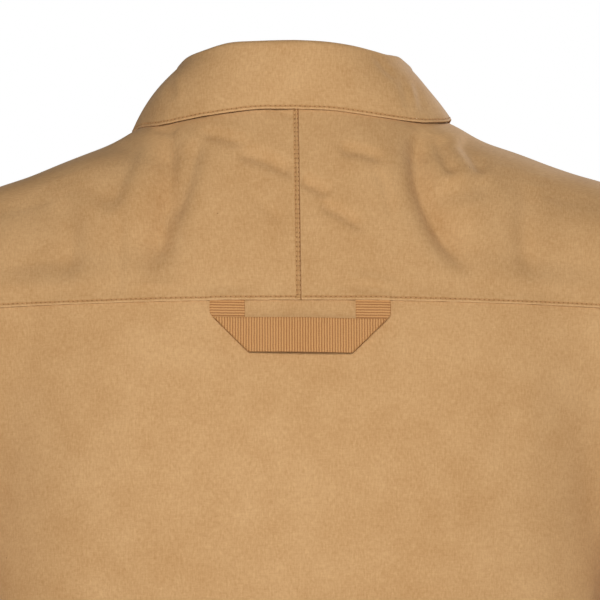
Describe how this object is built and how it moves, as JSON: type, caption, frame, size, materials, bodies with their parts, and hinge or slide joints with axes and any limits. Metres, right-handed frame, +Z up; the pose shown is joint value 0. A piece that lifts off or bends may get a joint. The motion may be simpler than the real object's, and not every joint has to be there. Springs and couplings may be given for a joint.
{
  "type": "long-sleeved cotton shirt jacket",
  "caption": "Long-sleeved tan cotton shirt jacket, filled out as worn: turn-down collar, split back yoke, ribbed hanger loop, buttoned front band and cuffs.",
  "frame": {"origin": "between the shoulders, level with the places where the collar's edge meets the shoulder line; the wearer's shoulders hold the jacket there", "axes": "+X to the wearer's left, -Y to the front, +Y to the back, +Z up"},
  "size_m": [0.9502, 0.2536, 0.7739],
  "materials": {
    "cotton": "brushed cotton twill, matt, softly mottled",
    "ribbed_tape": "cross-ribbed grosgrain tape, faint sheen on the ribs",
    "button": "tan resin, satin"
  },
  "bodies": {
    "root": {"back_panel": "cotton", "yoke_left": "cotton", "yoke_right": "cotton", "front_left": "cotton", "front_right": "cotton", "front_band": "cotton", "sleeve_left": "cotton", "sleeve_right": "cotton", "cuff_left": "cotton", "cuff_right": "cotton", "collar_stand": "cotton", "collar_leaf": "cotton", "hanger_loop": "ribbed_tape", "collar_button": "button", "front_button_1": "button", "front_button_2": "button", "front_button_3": "button", "front_button_4": "button", "front_button_5": "button", "front_button_6": "button", "cuff_button_left": "button", "cuff_button_right": "button"}
  },
  "joints": []
}
